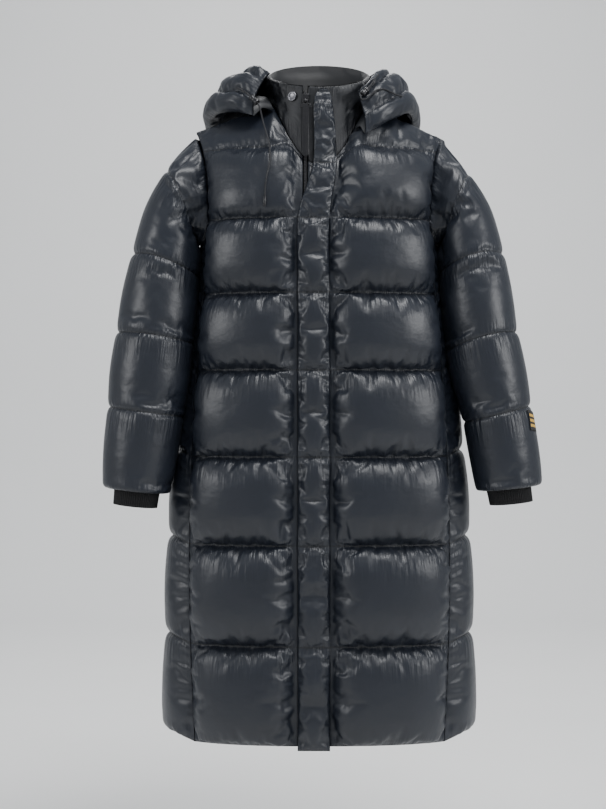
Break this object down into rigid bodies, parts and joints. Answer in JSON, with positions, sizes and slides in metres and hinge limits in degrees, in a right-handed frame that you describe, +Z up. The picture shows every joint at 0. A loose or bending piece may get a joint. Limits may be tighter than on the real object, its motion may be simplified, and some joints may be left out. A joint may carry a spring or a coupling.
{
  "type": "long puffer coat",
  "caption": "Knee-length quilted down coat with a stand collar, lowered hood, storm flap over the front zip and knitted cuffs",
  "frame": {"origin": "the mount shoulders: midway between the two shoulder seams at the sides of the neck, where a wearer carries the coat", "axes": "+Z up, the front of the coat faces -Y, the wearer's left side is +X"},
  "size_m": [0.7497, 0.3873, 1.1852],
  "materials": {
    "shell": "down-filled nylon with a satin gloss",
    "knit": "matte rib knit",
    "patch": "embroidered",
    "zip": "moulded teeth on woven tape",
    "dark_metal": "dark enamel",
    "cord": "braided cord",
    "bright_metal": "brushed"
  },
  "bodies": {
    "coat": {"front_left": "shell", "front_right": "shell", "back": "shell", "side_left": "shell", "side_right": "shell", "sleeve_left": "shell", "sleeve_right": "shell", "collar": "shell", "hood_middle": "shell", "hood_left": "shell", "hood_right": "shell", "storm_flap": "shell", "cuff_left": "knit", "cuff_right": "knit", "sleeve_patch": "patch", "zip_chain": "zip", "zip_slider": "dark_metal", "zip_bail": "dark_metal", "snap_socket": "dark_metal", "cord_right": "cord", "cord_left": "cord", "cord_lock_right": "bright_metal", "cord_lock_left": "bright_metal", "cord_tip_right": "bright_metal"},
    "pull": {"zip_pull": "dark_metal"}
  },
  "joints": [
    {"name": "pull_swing", "type": "hinge", "parent": "coat", "child": "pull", "pos_m": [-0.024, -0.0937, -0.011], "axis": [-1, 0, 0], "range_deg": [0, 160]}
  ]
}
